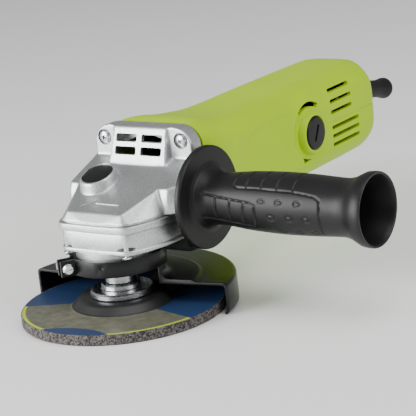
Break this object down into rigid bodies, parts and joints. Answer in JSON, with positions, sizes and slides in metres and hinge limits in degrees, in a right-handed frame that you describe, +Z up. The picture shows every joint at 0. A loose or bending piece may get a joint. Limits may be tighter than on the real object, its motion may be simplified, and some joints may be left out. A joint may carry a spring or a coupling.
{
  "type": "angle grinder",
  "caption": "Corded angle grinder with a die-cast gear head, depressed-centre disc, swivelling disc guard, side handle and slide switch.",
  "frame": {"origin": "centre of the spindle's lower end face", "axes": "+Z up along the spindle away from the disc, +X back along the motor to the tail, side handle towards -Y"},
  "size_m": [0.3604, 0.2154, 0.0973],
  "materials": {
    "cast_aluminium": "die-cast, fine sand-like grain, satin",
    "lime_plastic": "moulded nylon, lime green, fine satin texture",
    "black_plastic": "moulded black, satin",
    "black_steel": "satin black paint on pressed steel",
    "steel": "bright turned or zinc-plated steel",
    "dark_steel": "blackened or laminated steel",
    "copper": "enamelled copper wire and bars",
    "brass": "plain brass",
    "carbon": "pressed graphite",
    "abrasive": "resin-bonded grit with a printed paper label",
    "rubber": "moulded black rubber"
  },
  "bodies": {
    "casing": {"gear_housing": "cast_aluminium", "gear_cover": "cast_aluminium", "cover_screw_1": "steel", "cover_screw_2": "steel", "cover_screw_3": "steel", "cover_screw_4": "steel", "housing_screw_1": "steel", "housing_screw_2": "steel", "housing_screw_3": "steel", "housing_screw_4": "steel", "spindle_bearing_outer": "steel", "bearing_retainer": "dark_steel", "spindle_top_bush": "brass", "lock_spring": "steel", "front_bearing": "steel", "rear_bearing": "steel", "stator_stack": "dark_steel", "field_coil_left": "copper", "field_coil_right": "copper", "brush_holder_left": "brass", "brush_holder_right": "brass", "brush_spring_left": "steel", "brush_spring_right": "steel", "brush_cap_left": "black_plastic", "brush_cap_right": "black_plastic", "switch_body": "black_plastic", "motor_housing": "lime_plastic", "rear_cover": "lime_plastic", "rear_cover_screw_1": "steel", "rear_cover_screw_2": "steel", "strain_relief": "rubber", "cord_clamp": "black_plastic", "cord_clamp_screw_left": "steel", "cord_clamp_screw_right": "steel", "side_handle": "black_plastic", "handle_stud": "steel"},
    "spindle": {"spindle": "steel", "crown_gear": "dark_steel", "spindle_bearing_inner": "steel", "inner_flange": "steel", "clamp_nut": "dark_steel", "grinding_disc": "abrasive"},
    "armature": {"armature_shaft": "steel", "armature_stack": "dark_steel", "armature_winding_front": "copper", "armature_winding_rear": "copper", "commutator": "copper", "fan": "black_plastic", "pinion": "dark_steel", "pinion_nut": "steel"},
    "lock_button": {"lock_button": "black_plastic", "lock_pin": "steel"},
    "switch_slider": {"switch_button": "black_plastic", "switch_rod": "black_plastic"},
    "guard": {"guard": "black_steel", "guard_band": "black_steel", "guard_band_screw": "steel", "guard_band_nut": "steel"},
    "carbon_brush_left": {"carbon_brush_left": "carbon"},
    "carbon_brush_right": {"carbon_brush_right": "carbon"}
  },
  "joints": [
    {"name": "spindle_spin", "type": "hinge", "parent": "casing", "child": "spindle", "pos_m": [0, 0, 0.03], "axis": [0, 0, 1], "continuous": true},
    {"name": "armature_spin", "type": "hinge", "parent": "casing", "child": "armature", "pos_m": [0.1, 0, 0.061], "axis": [1, 0, 0], "continuous": true},
    {"name": "lock_button_press", "type": "slide", "parent": "casing", "child": "lock_button", "axis": [0, 0, -1], "range_m": [0, 0.0042], "stiffness_N_per_m": 600, "springref_m": -0.002, "deforming": ["lock_spring"]},
    {"name": "switch_slide", "type": "slide", "parent": "casing", "child": "switch_slider", "axis": [-1, 0, 0], "range_m": [0, 0.007]},
    {"name": "guard_swivel", "type": "hinge", "parent": "casing", "child": "guard", "pos_m": [0, 0, 0.03], "axis": [0, 0, 1], "range_deg": [-80, 80]},
    {"name": "carbon_brush_left_slide", "type": "slide", "parent": "casing", "child": "carbon_brush_left", "axis": [0, 1, 0], "range_m": [0, 0.003], "stiffness_N_per_m": 300, "springref_m": -0.006, "deforming": ["brush_spring_left"]},
    {"name": "carbon_brush_right_slide", "type": "slide", "parent": "casing", "child": "carbon_brush_right", "axis": [0, -1, 0], "range_m": [0, 0.003], "stiffness_N_per_m": 300, "springref_m": -0.006, "deforming": ["brush_spring_right"]}
  ],
  "couplings": [
    {"joint": "armature_spin", "follows": "spindle_spin", "ratio": 3.0833}
  ]
}
